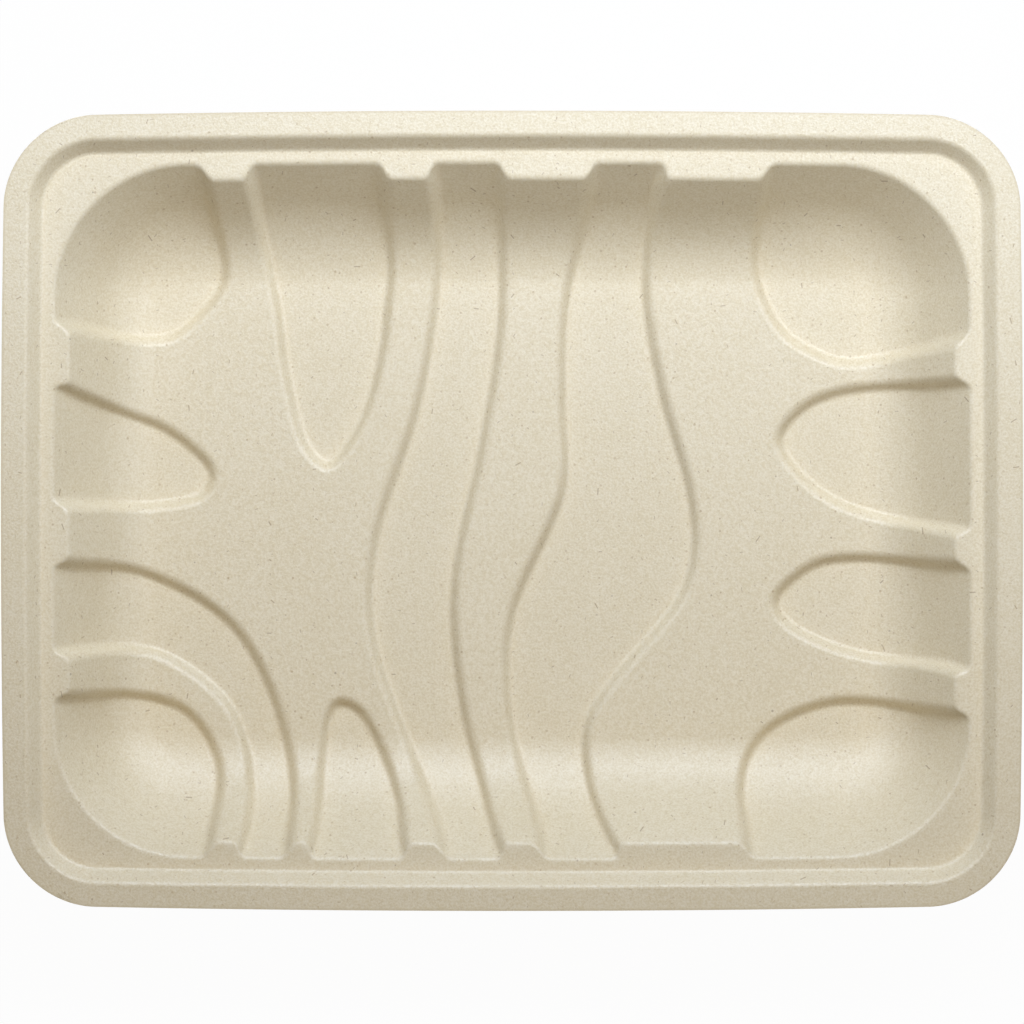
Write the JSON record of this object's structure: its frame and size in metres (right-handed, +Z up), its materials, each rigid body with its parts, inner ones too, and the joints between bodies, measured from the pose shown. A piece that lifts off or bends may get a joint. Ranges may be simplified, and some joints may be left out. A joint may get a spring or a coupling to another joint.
{
  "type": "produce tray",
  "caption": "Shallow pressed-fibre produce tray with a stepped rim and raised flowing ribs that part its floor and sloped walls into sunken pockets.",
  "frame": {"origin": "centre of the tray's plan, at the level of the pocket undersides that it rests on", "axes": "+Z up out of the tray, +X along its length, +Y across its width"},
  "size_m": [0.2348, 0.184, 0.0254],
  "materials": {
    "fibre": "matt natural fibre with fine specks"
  },
  "bodies": {
    "root": {"tray": "fibre"}
  },
  "joints": []
}
